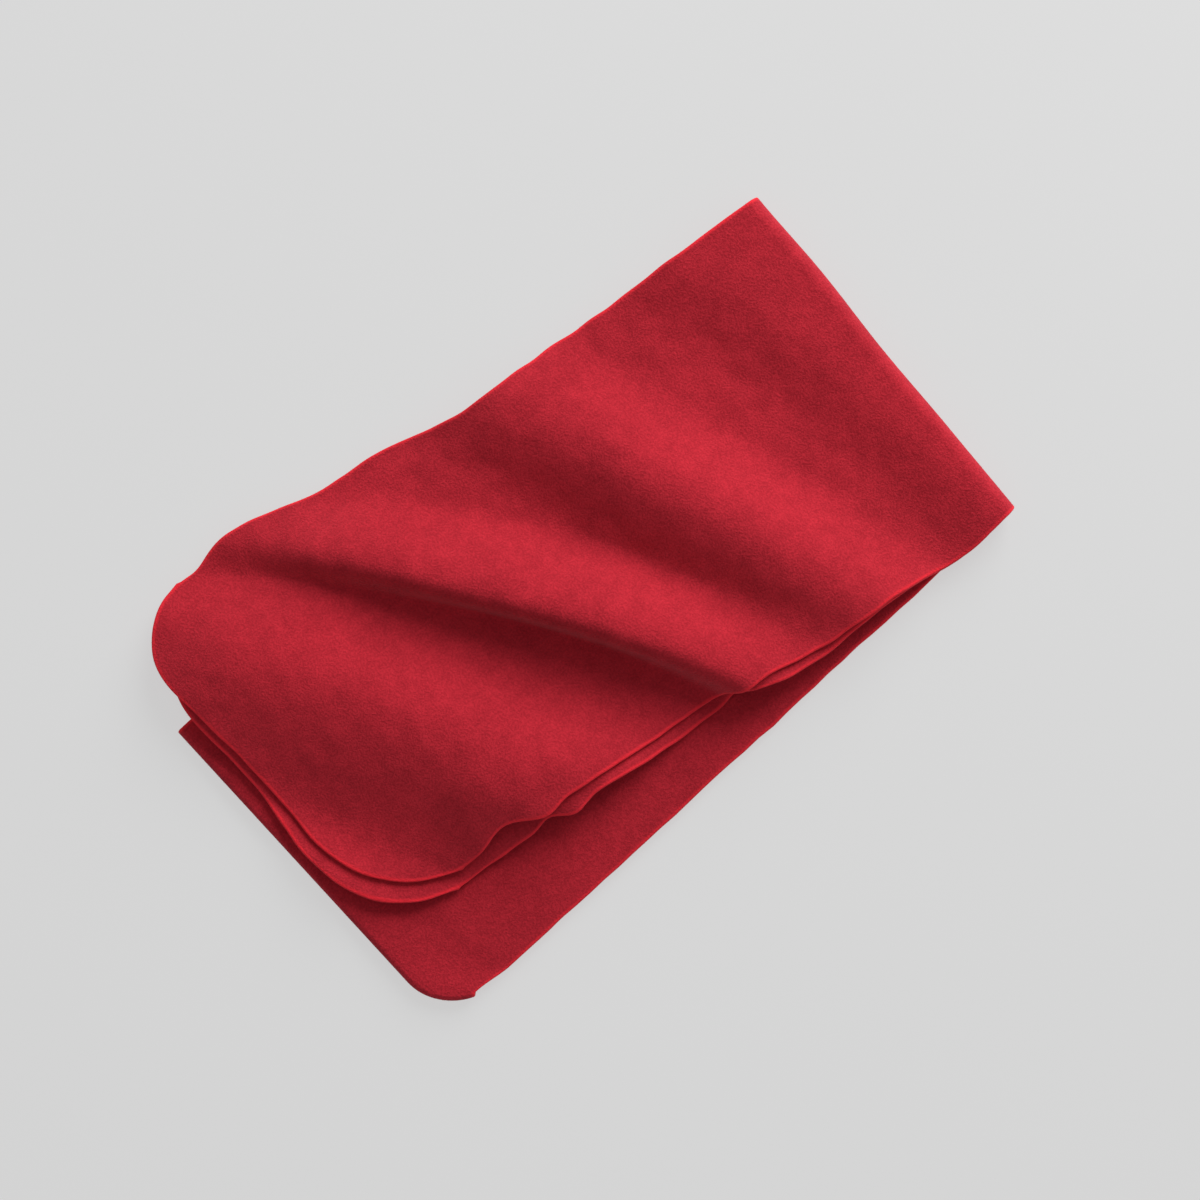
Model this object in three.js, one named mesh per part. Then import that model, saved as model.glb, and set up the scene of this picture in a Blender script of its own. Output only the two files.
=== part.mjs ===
// A fleece scarf: one long strip of polar fleece with raw cut edges and rounded ends.
// It is folded in half, folded over once more on a slightly slanting line, and laid down,
// so that four layers lie on each other and the upper two stand in soft slanting ridges.
// Millimetres, +Z up, X along the folded scarf, Y across it, the floor at Z = 0.

import * as THREE from 'three';

// The flat scarf. The outer layer's end lies on top and the inner layer's end below it, and the
// corner radii of each are given at the upper and the lower long edge.
const SCARF_LENGTH = 1980;
const SCARF_WIDTH = 250;
const FLEECE_THICKNESS = 2.6;
const OUTER_CORNER_RADII = [56, 88];
const INNER_CORNER_RADII = [76, 88];
const END_CORNER_REACH = 0.97;

// The first fold, at half the scarf's length.
const MIDDLE_FOLD_HOLLOW = 2.1;
const MIDDLE_FOLD_EASE = 34;
const MIDDLE_FOLD_CORNER_DEPTH = 24;
const MIDDLE_FOLD_CORNER_REACH = 36;
const MIDDLE_FOLD_CORNER_EASE = 95;
const MIDDLE_FOLD_CORNER_ROUNDING = 3;

// The second fold, across the doubled scarf.
const CROSS_FOLD_SETBACK = 15.8;
const CROSS_FOLD_SLANT_DEG = 3.15;
const CROSS_FOLD_HOLLOW = 4.1;

// How far the second fold's line stands out of a straight one, at even steps from the upper long
// edge to the lower one, and the length over which this fades.
const CROSS_FOLD_WAVE = [0, 1.5, 0.1, 1, 1.4];
const CROSS_FOLD_WAVE_EASE = 60;

// How the layers lie on each other.
const LAYER_GAP = 1;
const INNER_LAYER_SLIP = 8;
const INNER_LAYER_SLIP_START = 50;
const INNER_LAYER_SLIP_REACH = 140;
const OVERHANG_DROOP = 60;
const RIDGE_HEIGHT = 25;

// Ridges of the upper pair, in order from the cross fold to the free ends. Crest places are
// shares of the folded length, measured from the cross fold, at the upper long edge, the middle
// and the lower long edge. Heights, slopes and flare are shares of RIDGE_HEIGHT. Lean is how far
// the crest tips towards the free ends, as a share of its own height, and flare how far the
// crest's upper edge stands out sideways.
const RIDGES = [
  { name: 'fold_ridge', crest: [0.402, 0.302, 0.208], height: [0.42, 0.80, 0.68],
    rise: 2.4, fall: 2.5, lean: 0, flare: 0 },
  { name: 'tall_ridge', crest: [0.797, 0.553, 0.384], height: [0.20, 1.00, 0.80],
    rise: 2.2, fall: 1.24, lean: 0.42, flare: 0.3 },
  { name: 'end_ridge', crest: [0.965, 0.777, 0.627], height: [0.44, 0.72, 0.68],
    rise: 2.7, fall: 3.5, lean: 0, flare: 0 },
  { name: 'lip_ridge', crest: [1.12, 1.03, 0.91], height: [0.16, 0.22, 0.24],
    rise: 1.68, fall: 2.0, lean: 0, flare: 0 },
];

// Places where the upper pair steps sideways, towards its upper long edge. Along is given as the
// crests are, and the reach and the step are shares of RIDGE_HEIGHT.
const SIDE_STEPS = [
  { name: 'step_at_valley', along: [0.53, 0.455, 0.365], reach: 1.8, sideways: 0.56 },
  { name: 'step_at_end_ridge', along: [0.75, 0.68, 0.62], reach: 1.8, sideways: 0.24 },
];

// Rounded tongues of the lower long edge, both layers alike. Along is a share of the folded length
// from the cross fold, and the rest are shares of RIDGE_HEIGHT.
const EDGE_LOBES = [
  { name: 'skirt_by_fold', along: 0.07, outward: 0.27, reach: 1.4, width: 1.6 },
];

// Where the height of the cross fold begins and ends to ease off, as shares of the folded length,
// at the upper long edge, the middle and the lower long edge.
const FOLD_EASE_START = [0.10, 0.03, 0];
const FOLD_EASE_END = [0.22, 0.13, 0.087];

// How far each layer's free end reaches past a straight one, in millimetres, at the same places.
const OUTER_END_REACH = [-3, 3, 3];
const INNER_END_REACH = [-9, -1, 0];

// Places where the top layer alone stands off the layer below it. Along is a share of the folded
// length from the cross fold, across a share of half the width, the rest shares of RIDGE_HEIGHT.
const TOP_LAYER_LIFTS = [
  { name: 'edge_mouth', along: 0.80, across: -0.83, height: 0.32, reach: 1.4, inward: 0.11 },
];

// Grid of the faceted surface. Columns are shares of half the width, from the middle outwards. The
// lower long edge has a column more than the upper one, for the inner layer that shows there, and
// LOWER_EDGE_COLUMN_SLIP is the share of the inner layer's slip that this column takes part in.
const HALF_COLUMNS = [0.104, 0.32, 0.528, 0.696, 0.824, 0.92];
const LOWER_EDGE_COLUMN = 0.95;
const LOWER_EDGE_COLUMN_SLIP = 0.8;
const MIDDLE_FOLD_STEPS = 5;
const MIDDLE_EASE_STEPS = 4;
const LOWER_PAIR_STEPS = 8;
const CROSS_FOLD_STEPS = 8;
const UPPER_PAIR_STEP = 8;
const ROUND_END_SHARE = 1.3;
const END_STEPS = 12;
const NORMAL_STEP = 0.05;

const OUTER = 1;
const INNER = -1;

// How far past a long edge the tables across the width still hold, as a share of the width.
const PAST_EDGE_SHARE = 0.05;

const HALF_WIDTH = SCARF_WIDTH / 2;
const HALF_THICKNESS = FLEECE_THICKNESS / 2;
const LAYER_PITCH = FLEECE_THICKNESS + LAYER_GAP;
const MIDDLE_FOLD_RADIUS = MIDDLE_FOLD_HOLLOW + HALF_THICKNESS;
const CROSS_FOLD_RADIUS = CROSS_FOLD_HOLLOW + FLEECE_THICKNESS + LAYER_GAP / 2;
const FOLDED_LENGTH = SCARF_LENGTH / 4 - CROSS_FOLD_SETBACK;

// The cross fold turns about a slanting line. A point's distance past that line is its way in.
const SLANT = THREE.MathUtils.degToRad(CROSS_FOLD_SLANT_DEG);
const INTO_FOLD = new THREE.Vector2(Math.cos(SLANT), -Math.sin(SLANT));
const AWAY_FROM_FOLD = new THREE.Vector2(-Math.cos(2 * SLANT), Math.sin(2 * SLANT));
const ACROSS_UPPER_PAIR = new THREE.Vector2(Math.sin(2 * SLANT), Math.cos(2 * SLANT));
const FOLD_START = FOLDED_LENGTH - CROSS_FOLD_RADIUS / Math.cos(SLANT);
const FOLD_ARC = Math.PI * CROSS_FOLD_RADIUS;

// Lengths along the middle between the two layers of a pair, from the middle fold to each end.
const PAIR_LENGTH = SCARF_LENGTH / 2 - (Math.PI / 2) * MIDDLE_FOLD_RADIUS;
const OUTER_END = PAIR_LENGTH - (Math.PI / 2) * LAYER_PITCH;
const INNER_END = PAIR_LENGTH + (Math.PI / 2) * LAYER_PITCH;

const smooth = (t) => THREE.MathUtils.smoothstep(t, 0, 1);

// How far across a place lies, as a share of the width, from the upper long edge to the lower one.
const shareAcross = (across) => (HALF_WIDTH - across) / SCARF_WIDTH;

// A smooth curve through the values at the upper edge, the middle and the lower edge.
function acrossWidth([upper, middle, lower], share) {
  return upper * (1 - share) * (1 - 2 * share)
    + 4 * middle * share * (1 - share)
    + lower * share * (2 * share - 1);
}

// A smooth curve through values at even steps from the upper long edge to the lower one.
function alongSteps(values, share) {
  const place = THREE.MathUtils.clamp(share, 0, 1) * (values.length - 1);
  const step = Math.min(Math.floor(place), values.length - 2);
  return THREE.MathUtils.lerp(values[step], values[step + 1], smooth(place - step));
}

// How far the rounded end stops short of a square one, at a distance across. The corner's arc
// leaves off at END_CORNER_REACH of its radius, just before it would run along the border.
function cornerInset([upper, lower], across) {
  const radius = across > 0 ? upper : lower;
  const over = (Math.abs(across) - HALF_WIDTH) / radius + 1;
  const kept = THREE.MathUtils.clamp(over, 0, END_CORNER_REACH);
  return radius * (1 - Math.sqrt(1 - kept * kept));
}

function wayIntoFold(along, across) {
  return (along - FOLD_START) * Math.cos(SLANT) - across * Math.sin(SLANT);
}

// The place along the strip, at a distance across, that lies this far into the cross fold.
function alongAtFold(wayIn, across) {
  return FOLD_START + (wayIn + across * Math.sin(SLANT)) / Math.cos(SLANT);
}

function pitchOfLowerPair(along) {
  const spread = 2 * MIDDLE_FOLD_RADIUS - LAYER_PITCH;
  return LAYER_PITCH + spread * (1 - smooth(along / MIDDLE_FOLD_EASE));
}

// Height and shift of the upper pair's ridges at a place past the cross fold.
function ridgesAt(past, across) {
  const share = THREE.MathUtils.clamp(shareAcross(across), -PAST_EDGE_SHARE, 1 + PAST_EDGE_SHARE);
  const sum = { height: 0, away: 0, sideways: 0 };
  let takenUp = 0;
  for (const ridge of RIDGES) {
    const height = Math.max(acrossWidth(ridge.height, share), 0) * RIDGE_HEIGHT;
    const rise = ridge.rise * RIDGE_HEIGHT;
    const fall = ridge.fall * RIDGE_HEIGHT;
    const run = (ridge.crest[0] - ridge.crest[2]) * FOLDED_LENGTH;
    const normalAway = SCARF_WIDTH / Math.hypot(SCARF_WIDTH, run);
    const takeUp = (tall, reach) => (Math.PI * tall) ** 2 / (16 * reach);
    const crest = acrossWidth(ridge.crest, share) * FOLDED_LENGTH
      - ridge.lean * height + takenUp + takeUp(height, rise) / normalAway;
    const offset = (past - crest) * normalAway;
    const reached = THREE.MathUtils.clamp(offset < 0 ? offset / rise : offset / fall, -1, 1);
    const bump = Math.cos(reached * Math.PI / 2) ** 2;
    const local = height * bump;
    const climbed = smooth(1 + offset / rise);
    const dropped = smooth(offset / fall);
    sum.height += local;
    sum.away += ridge.lean * local
      - (takeUp(height, rise) * climbed + takeUp(height, fall) * dropped) * normalAway;
    sum.sideways += ridge.flare * RIDGE_HEIGHT * bump * smooth(across / HALF_WIDTH);
    takenUp += (takeUp(height, rise) + takeUp(height, fall)) / normalAway;
  }
  for (const step of SIDE_STEPS) {
    const offset = past - acrossWidth(step.along, share) * FOLDED_LENGTH;
    const passed = smooth((1 + offset / (step.reach * RIDGE_HEIGHT)) / 2);
    sum.sideways += step.sideways * RIDGE_HEIGHT * passed;
  }
  return sum;
}

// The middle between the two layers of the upper pair.
function upperPairMiddle(along, across) {
  const wayIn = wayIntoFold(along, across);
  const pastFold = wayIn - FOLD_ARC;
  const past = along - alongAtFold(FOLD_ARC, across);
  const ridges = ridgesAt(past, across);
  const plan = new THREE.Vector2(along, across)
    .addScaledVector(INTO_FOLD, -wayIn - pastFold)
    .addScaledVector(AWAY_FROM_FOLD, ridges.away)
    .addScaledVector(ACROSS_UPPER_PAIR, ridges.sideways);
  const carried = 1 - smooth((plan.y - HALF_WIDTH) / OVERHANG_DROOP);
  const bed = HALF_THICKNESS + LAYER_PITCH / 2 + (LAYER_PITCH + pitchOfLowerPair(plan.x)) * carried;
  const [easeStart, easeEnd] = [FOLD_EASE_START, FOLD_EASE_END]
    .map((row) => acrossWidth(row, shareAcross(across)) * FOLDED_LENGTH);
  const ease = 1 - smooth((past - easeStart) / (easeEnd - easeStart));
  const roll = 2 * (CROSS_FOLD_RADIUS - LAYER_PITCH) * ease;
  return new THREE.Vector3(plan.x, plan.y, bed + roll + ridges.height);
}

// The unit normal of a surface given as a function of along and across.
function surfaceNormal(surface, along, across) {
  const alongWay = surface(along + NORMAL_STEP, across).sub(surface(along - NORMAL_STEP, across));
  const acrossWay = surface(along, across + NORMAL_STEP).sub(surface(along, across - NORMAL_STEP));
  return acrossWay.cross(alongWay).normalize();
}

// The middle fold's line curves in towards its lower corner, and its bulge stands square to it.
// Right at the corner the cut edge is drawn in a little.
function lowerPairPoint(side, along, across) {
  const turn = Math.min(Math.max(-along / MIDDLE_FOLD_RADIUS, 0), Math.PI / 2);
  const intoCorner = Math.max(MIDDLE_FOLD_CORNER_REACH - HALF_WIDTH - across, 0);
  const towardsCorner = intoCorner / MIDDLE_FOLD_CORNER_REACH;
  const tucked = MIDDLE_FOLD_CORNER_DEPTH * towardsCorner ** 2;
  const lineSlope = 2 * MIDDLE_FOLD_CORNER_DEPTH * towardsCorner / MIDDLE_FOLD_CORNER_REACH;
  const outOfFold = new THREE.Vector2(-1, -lineSlope).normalize();
  const bulge = MIDDLE_FOLD_RADIUS * Math.sin(turn);
  const cornerShift = tucked * (1 - smooth(along / MIDDLE_FOLD_CORNER_EASE));
  const x = Math.max(along, 0) + cornerShift + bulge * outOfFold.x;
  const atFold = 1 - smooth(along / MIDDLE_FOLD_EASE);
  const drawnIn = MIDDLE_FOLD_CORNER_ROUNDING * towardsCorner ** 4 * atFold;
  const y = across + bulge * outOfFold.y + drawnIn;
  const turnHeight = HALF_THICKNESS + MIDDLE_FOLD_RADIUS * (1 - side * Math.cos(turn));
  const flatHeight = HALF_THICKNESS + (side === INNER ? pitchOfLowerPair(along) : 0);
  return new THREE.Vector3(x, y, along < 0 ? turnHeight : flatHeight);
}

function crossFoldPoint(side, along, across) {
  const wayIn = wayIntoFold(along, across);
  const angle = wayIn / CROSS_FOLD_RADIUS;
  const radius = CROSS_FOLD_RADIUS + side * LAYER_PITCH / 2;
  const plan = new THREE.Vector2(along, across)
    .addScaledVector(INTO_FOLD, radius * Math.sin(angle) - wayIn);
  const height = HALF_THICKNESS + LAYER_PITCH / 2 + CROSS_FOLD_RADIUS - radius * Math.cos(angle);
  return new THREE.Vector3(plan.x, plan.y, height);
}

function upperPairPoint(side, along, across) {
  const point = upperPairMiddle(along, across)
    .addScaledVector(surfaceNormal(upperPairMiddle, along, across), side * LAYER_PITCH / 2);
  if (side === INNER) return point;
  const past = along - alongAtFold(FOLD_ARC, across);
  for (const lift of TOP_LAYER_LIFTS) {
    const distance = Math.hypot(past - lift.along * FOLDED_LENGTH, across - lift.across * HALF_WIDTH);
    const local = Math.exp(-((distance / (lift.reach * RIDGE_HEIGHT)) ** 2)) * RIDGE_HEIGHT;
    point.z += lift.height * local;
    point.y += lift.inward * local;
  }
  return point;
}

// How far the lower long edge's tongues carry a place towards that edge.
function towardsLowerEdge(past, across) {
  return EDGE_LOBES.reduce((sum, lobe) => {
    const offset = (past - lobe.along * FOLDED_LENGTH) / (lobe.reach * RIDGE_HEIGHT);
    const nearEdge = smooth(1 - (across + HALF_WIDTH) / (lobe.width * RIDGE_HEIGHT));
    return sum + lobe.outward * RIDGE_HEIGHT * Math.exp(-(offset ** 2)) * nearEdge;
  }, 0);
}

// A point on the middle surface of one layer. The outer layer runs from the bottom of the pack
// round both folds to the top, and the inner layer lies against it all the way.
function layerPoint(side, along, across) {
  const wayIn = wayIntoFold(along, across);
  const pastFold = wayIn - FOLD_ARC;
  let point;
  let nearFold = 1;
  if (wayIn < 0) {
    point = lowerPairPoint(side, along, across);
    nearFold = smooth(1 + wayIn / CROSS_FOLD_WAVE_EASE);
  } else if (pastFold < 0) {
    point = crossFoldPoint(side, along, across);
  } else {
    point = upperPairPoint(side, along, across);
    nearFold = 1 - smooth(pastFold / CROSS_FOLD_WAVE_EASE);
  }
  const wave = alongSteps(CROSS_FOLD_WAVE, shareAcross(across)) * nearFold;
  const outward = towardsLowerEdge(along - alongAtFold(FOLD_ARC, across), across);
  point.x += INTO_FOLD.x * wave - ACROSS_UPPER_PAIR.x * outward;
  point.y += INTO_FOLD.y * wave - ACROSS_UPPER_PAIR.y * outward;
  return point;
}

// Grid lines across the scarf, from the lower long edge to the upper one.
const COLUMNS = [
  -1, -LOWER_EDGE_COLUMN, ...HALF_COLUMNS.map((share) => -share).reverse(), ...HALF_COLUMNS, 1,
].map((share) => share * HALF_WIDTH);

// The inner layer has slid sideways. Its columns near the borders move, and the others stay
// under those of the outer layer.
function slippedColumns(along) {
  const past = along - FOLD_START - FOLD_ARC - INNER_LAYER_SLIP_START;
  const slip = INNER_LAYER_SLIP * smooth(past / INNER_LAYER_SLIP_REACH);
  return COLUMNS.map((across, i) => {
    if (i === 0 || i === COLUMNS.length - 1) return across - slip;
    return i === 1 ? across - LOWER_EDGE_COLUMN_SLIP * slip : across;
  });
}

// Each station is a function that gives the distance along at a distance across.
function stationsOfPair() {
  const stations = [];
  const addRun = (from, to, steps) => {
    for (let i = 1; i <= steps; i += 1) {
      stations.push((across) => THREE.MathUtils.lerp(from(across), to(across), i / steps));
    }
  };
  const middleFoldMid = () => -(Math.PI / 2) * MIDDLE_FOLD_RADIUS;
  const middleFoldEnd = () => 0;
  const easeEnd = () => MIDDLE_FOLD_EASE;
  const foldStart = (across) => alongAtFold(0, across);
  const foldEnd = (across) => alongAtFold(FOLD_ARC, across);
  const roundEndStart = () => OUTER_END - ROUND_END_SHARE * Math.max(...OUTER_CORNER_RADII);
  const outerEnd = (across) => OUTER_END + acrossWidth(OUTER_END_REACH, shareAcross(across))
    - cornerInset(OUTER_CORNER_RADII, across);
  stations.push(middleFoldMid);
  addRun(middleFoldMid, middleFoldEnd, MIDDLE_FOLD_STEPS);
  addRun(middleFoldEnd, easeEnd, MIDDLE_EASE_STEPS);
  addRun(easeEnd, foldStart, LOWER_PAIR_STEPS);
  addRun(foldStart, foldEnd, CROSS_FOLD_STEPS);
  addRun(foldEnd, roundEndStart, Math.round((roundEndStart() - foldEnd(0)) / UPPER_PAIR_STEP));
  addRun(roundEndStart, outerEnd, END_STEPS);
  return stations;
}

// Rows of grid points along the whole scarf, from the end on top, round both folds, to the
// other end. Each row holds its points and the normals that point out of the outer side. The
// turning row is the one at the middle fold.
function gridRows() {
  const gridPoint = (side, along, across) => {
    const surface = (a, c) => layerPoint(side, a, c);
    return {
      point: surface(along, across),
      normal: surfaceNormal(surface, along, across).multiplyScalar(side),
    };
  };
  const shared = stationsOfPair();
  const outer = shared.map((station) => COLUMNS
    .map((across) => gridPoint(OUTER, station(across), across)));
  const inner = shared.slice(1).map((station) => slippedColumns(station(0))
    .map((across, i) => gridPoint(INNER, station(COLUMNS[i]), across)));
  const innerEnd = slippedColumns(INNER_END).map((across, i) => {
    const ownEnd = INNER_END + acrossWidth(INNER_END_REACH, shareAcross(COLUMNS[i]))
      - cornerInset(INNER_CORNER_RADII, across + INNER_LAYER_SLIP);
    const pastLastRow = shared[shared.length - 1](COLUMNS[i]) + LAYER_PITCH / 2;
    return gridPoint(INNER, Math.max(ownEnd, pastLastRow), across);
  });
  return { rows: [...outer.reverse(), ...inner, innerEnd], turningRow: outer.length - 1 };
}

// A closed wall of even thickness about the grid: two faces and the cut edge all round. Past the
// turning row the squares are split along their other diagonal, so that layers nest flat on flat.
function wallGeometry(rows, turningRow) {
  const columns = rows[0].length;
  const positions = [];
  for (const face of [HALF_THICKNESS, -HALF_THICKNESS]) {
    for (const row of rows) {
      for (const { point, normal } of row) {
        positions.push(...point.clone().addScaledVector(normal, face).toArray());
      }
    }
  }
  const backFace = rows.length * columns;
  const at = (row, column) => row * columns + column;
  const triangles = [];
  for (let row = 0; row + 1 < rows.length; row += 1) {
    for (let column = 0; column + 1 < columns; column += 1) {
      const [a, b] = [at(row, column), at(row + 1, column)];
      const [c, d] = [at(row + 1, column + 1), at(row, column + 1)];
      const halves = row < turningRow ? [[a, b, d], [b, c, d]] : [[a, b, c], [a, c, d]];
      for (const [p, q, r] of halves) {
        triangles.push(p, q, r, p + backFace, r + backFace, q + backFace);
      }
    }
  }
  const lastRow = rows.length - 1;
  const lastColumn = columns - 1;
  const border = [
    ...Array.from({ length: lastColumn }, (_, i) => at(0, i)),
    ...Array.from({ length: lastRow }, (_, i) => at(i, lastColumn)),
    ...Array.from({ length: lastColumn }, (_, i) => at(lastRow, lastColumn - i)),
    ...Array.from({ length: lastRow }, (_, i) => at(lastRow - i, 0)),
  ];
  border.forEach((here, i) => {
    const next = border[(i + 1) % border.length];
    triangles.push(here, next, next + backFace, here, next + backFace, here + backFace);
  });
  const geometry = new THREE.BufferGeometry();
  geometry.setAttribute('position', new THREE.Float32BufferAttribute(positions, 3));
  geometry.setIndex(triangles);
  geometry.computeVertexNormals();
  return geometry;
}

function fleeceScarf() {
  const { rows, turningRow } = gridRows();
  const geometry = wallGeometry(rows, turningRow);
  const fleece = new THREE.MeshStandardMaterial({ color: 0xb02233, roughness: 0.97, metalness: 0 });
  const mesh = new THREE.Mesh(geometry, fleece);
  mesh.name = 'fleece_scarf';
  geometry.computeBoundingBox();
  const { min, max } = geometry.boundingBox;
  mesh.position.set(-(min.x + max.x) / 2, -(min.y + max.y) / 2, -min.z);
  return mesh;
}

const scarf = new THREE.Group();
scarf.add(fleeceScarf());

export default scarf;
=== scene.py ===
"""A red fleece scarf, folded in half and in half again, lying on a pale surface.

The scarf is one strip of brushed polyester fleece. Every point of the flat strip is named by its
distance along and across, and the class FoldedScarf says where that point lies in the folded pack.
"""

from collections import namedtuple

import bpy
import numpy as np
from bpy.props import FloatProperty, FloatVectorProperty, PointerProperty
from mathutils import Matrix, Vector
from mathutils.bvhtree import BVHTree


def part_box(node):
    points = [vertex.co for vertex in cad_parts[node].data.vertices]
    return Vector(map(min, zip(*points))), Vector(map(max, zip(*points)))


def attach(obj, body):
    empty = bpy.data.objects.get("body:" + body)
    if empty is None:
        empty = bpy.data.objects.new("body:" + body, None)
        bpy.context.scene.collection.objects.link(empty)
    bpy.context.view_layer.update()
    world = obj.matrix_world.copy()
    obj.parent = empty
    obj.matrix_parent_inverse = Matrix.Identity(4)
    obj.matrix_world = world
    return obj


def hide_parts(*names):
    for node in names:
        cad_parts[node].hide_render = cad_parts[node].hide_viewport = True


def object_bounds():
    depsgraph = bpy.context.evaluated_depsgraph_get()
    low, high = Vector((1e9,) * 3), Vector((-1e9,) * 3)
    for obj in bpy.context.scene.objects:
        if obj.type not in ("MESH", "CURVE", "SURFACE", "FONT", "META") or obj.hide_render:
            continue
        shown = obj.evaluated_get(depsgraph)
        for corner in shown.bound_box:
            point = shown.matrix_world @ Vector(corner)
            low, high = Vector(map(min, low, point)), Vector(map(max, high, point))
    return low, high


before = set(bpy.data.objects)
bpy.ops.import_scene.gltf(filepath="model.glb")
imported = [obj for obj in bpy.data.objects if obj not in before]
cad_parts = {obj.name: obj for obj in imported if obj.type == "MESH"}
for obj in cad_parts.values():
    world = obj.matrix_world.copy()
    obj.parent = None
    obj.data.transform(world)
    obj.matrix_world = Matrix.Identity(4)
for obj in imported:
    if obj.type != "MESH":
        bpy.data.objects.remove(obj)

bl_info = {
    "name": "Folded Fleece Scarf",
    "version": (1, 0, 0),
    "blender": (4, 5, 0),
    "location": "3D View > Sidebar > Scarf",
    "description": "Folds a fleece scarf, gives it its brushed nap and sets the stage",
    "category": "Object",
}

CAD_NODE = "fleece_scarf"
CAD_LOW, CAD_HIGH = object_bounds()

OUTER, INNER = 1.0, -1.0
WHITE = (1.0, 1.0, 1.0, 1.0)

# Grid of the cloth: columns across the width, closer together near the long edges, and runs of
# rows from the middle fold to a free end. The last starts this many corner radii before the end.
COLUMNS = 84
EDGE_CROWDING = 0.55
ROUND_END_RADII = 1.3
Run = namedtuple("Run", "start stop steps")
GRID_RUNS = (
    Run("middle", "flat", 10),
    Run("flat", "eased", 8),
    Run("eased", "fold_start", 36),
    Run("fold_start", "fold_end", 24),
    Run("fold_end", "round_start", 126),
    Run("round_start", "end", 34),
)

# The cut edge: steps round it, and how far it bulges, as a share of half the thickness.
RIM_STEPS = 4
RIM_BULGE = 0.8

# Distance over which the slope of a surface is measured, in metres.
SLOPE_STEP = 0.00005

# Share of a rounded corner's radius beyond which its inset grows no more.
CORNER_LIMIT = 0.995

# At the middle fold's lower corner: the power that gathers its rounding, and the share of the fold's
# sideways bulge that is gone.
CORNER_POWER = 4
CORNER_BULGE_FADE = 0.6

# Faint unevenness of the resting cloth and its cut edges: number, height and lengths of the waves,
# in metres. The dents keep to their room either way, and the lower pair has a share of them. The
# edges' drift dies down towards the middle with this power.
Wave = namedtuple("Wave", "height along across start")
WAVE_SEED = 11
DENT_WAVES, DENT_HEIGHT, DENT_LENGTHS = 22, 0.00007, (0.016, 0.075)
DENT_ROOM = 0.0005
LOWER_DENT_SHARE = 0.35
EDGE_WAVES, EDGE_HEIGHT, EDGE_LENGTHS = 10, 0.00012, (0.025, 0.120)
EDGE_DRIFT_POWER = 3

# Loose fibres of the nap, in metres and radians. The shortest has this share of the full length, and
# none is rooted below the lowest height.
PLACE_SEED, TILT_SEED, LENGTH_SEED = 5, 6, 7
FIBRE_SIDES = 3
FIBRE_RADIUS = 0.00006
FIBRE_LEAN = 1.1
SHORTEST_FIBRE = 0.45
LOWEST_FIBRE = 0.0021

# A ray that finds out whether the fleece lies open starts this far off it, tilted up by this much.
OPEN_RAY_START = 0.0003
OPEN_RAY_RISE = 0.6

# Grain of the nap: the detail and roughness of its noise, and the values between which it rises.
Grain = namedtuple("Grain", "detail roughness low high")
TUFTS = Grain(3.0, 0.62, 0.30, 0.70)
CLUMPS = Grain(2.0, 0.5, 0.32, 0.70)
PATCHES = Grain(2.0, 0.5, 0.30, 0.70)

# The clumps are this many tufts wide, the patches have their size in metres, the tufts make this
# share of the relief and the relief this share of the shade value, whose low end paints shade into
# the gaps and whose rest is the patches' random tone.
CLUMP_TUFTS = 6
PATCH_SIZE = 0.045
TUFTS_IN_RELIEF = 0.72
RELIEF_IN_SHADE = 0.80

# Looks of the nap: its roughness in the gaps and on the tips, its highlights and its sheen. The cut
# edge has finer tufts, and its painted highlight fades from this share of its width on.
NAP_ROUGHNESS = (0.98, 0.88)
SPECULAR_LEVEL = 0.12
SHEEN_ROUGHNESS = 0.45
SHEEN_TINT = (1.0, 0.55, 0.62, 1.0)
FACE_SHEEN, EDGE_SHEEN, FIBRE_SHEEN = 0.16, 0.12, 0.10
EDGE_TUFT_SHARE = 0.7
EDGE_HIGHLIGHT_FADE_START = 0.35

# The camera, with its lens and sensor in millimetres, and the floor, in metres. The floor's tone
# strays by this share in soft patches.
CAMERA_PLACE = (0.0045, -0.0273)
LENS, SENSOR_WIDTH = 50.0, 36.0
FLOOR_REACH = 3.0
FLOOR_HEIGHT = -0.0002
FLOOR_PATCH_SIZE = 0.3
FLOOR_STRAY = 0.03

# The soft light, whose way from the scarf is given in the picture's own right and up and the rise
# above the floor. Its distance and size are in metres.
LIGHT_RIGHT, LIGHT_UP, LIGHT_RISE = 0.45, 0.85, 0.50
LIGHT_DISTANCE, LIGHT_SIZE = 2.6, 2.0

# Ridges of the upper pair, from the cross fold to the free ends. Crest places are shares of the
# folded length, measured from the cross fold, at the upper long edge, the middle and the lower long
# edge. Heights, the lengths of rise and fall, and flare are shares of the ridge height. Lean is how
# far the crest tips towards the free ends, as a share of its own height, and flare how far the
# crest's upper edge stands out sideways.
Ridge = namedtuple("Ridge", "name crest height rise fall lean flare")
RIDGES = (
    Ridge("fold_ridge", (0.402, 0.302, 0.208), (0.42, 0.80, 0.68), 2.4, 2.5, 0.0, 0.0),
    Ridge("tall_ridge", (0.797, 0.553, 0.384), (0.20, 1.00, 0.80), 2.2, 1.24, 0.42, 0.3),
    Ridge("end_ridge", (0.965, 0.777, 0.627), (0.44, 0.72, 0.68), 2.7, 3.5, 0.0, 0.0),
    Ridge("lip_ridge", (1.12, 1.03, 0.91), (0.16, 0.22, 0.24), 1.68, 2.0, 0.0, 0.0),
)

# Places where the upper pair steps sideways, towards its upper long edge. Along is given as the
# crests are, and the reach and the step are shares of the ridge height.
Step = namedtuple("Step", "name along reach sideways")
SIDE_STEPS = (
    Step("step_at_valley", (0.53, 0.455, 0.365), 1.8, 0.56),
    Step("step_at_end_ridge", (0.75, 0.68, 0.62), 1.8, 0.24),
)

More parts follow.
